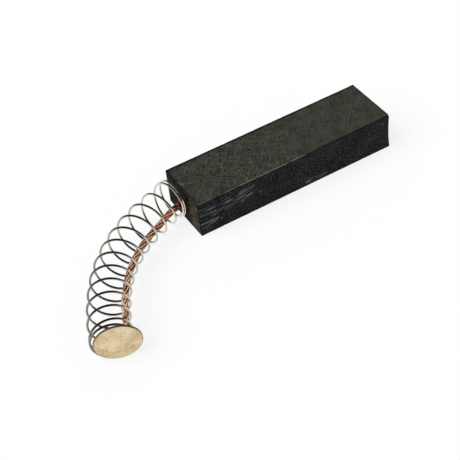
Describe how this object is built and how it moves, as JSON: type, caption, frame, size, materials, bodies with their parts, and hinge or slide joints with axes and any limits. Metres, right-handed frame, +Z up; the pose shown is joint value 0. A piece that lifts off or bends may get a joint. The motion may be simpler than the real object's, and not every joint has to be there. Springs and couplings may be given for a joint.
{
  "type": "carbon brush",
  "caption": "Rectangular carbon brush with a bent coil spring, a stranded copper lead tamped into its end, and a flat round contact disc.",
  "frame": {"origin": "middle of the carbon block's underside", "axes": "+X along the block towards its running face, +Y across it away from the side the spring bends to, +Z up out of its top face"},
  "size_m": [0.0598, 0.0257, 0.007],
  "materials": {
    "carbon": "pressed and ground carbon graphite, dull, finely scratched",
    "tamped_copper": "rammed copper powder, grainy and dark",
    "spring_steel": "drawn wire, bright",
    "brass_sheet": "punched sheet, pale and mottled",
    "solder": "soft solder, satin",
    "copper_strand": "bunched fine copper wires"
  },
  "bodies": {
    "block": {"carbon_block": "carbon", "tamped_copper": "tamped_copper", "spring": "spring_steel", "core_strand": "copper_strand", "lead_strand_1": "copper_strand", "lead_strand_2": "copper_strand", "lead_strand_3": "copper_strand", "lead_strand_4": "copper_strand", "lead_strand_5": "copper_strand", "lead_strand_6": "copper_strand"},
    "disc": {"contact_disc": "brass_sheet", "solder_joint": "solder"}
  },
  "joints": [
    {"name": "disc_press", "type": "slide", "parent": "block", "child": "disc", "axis": [0.309, 0.9511, 0], "range_m": [0, 0.01], "stiffness_N_per_m": 45, "deforming": ["spring", "core_strand", "lead_strand_1", "lead_strand_2", "lead_strand_3", "lead_strand_4", "lead_strand_5", "lead_strand_6"]}
  ]
}
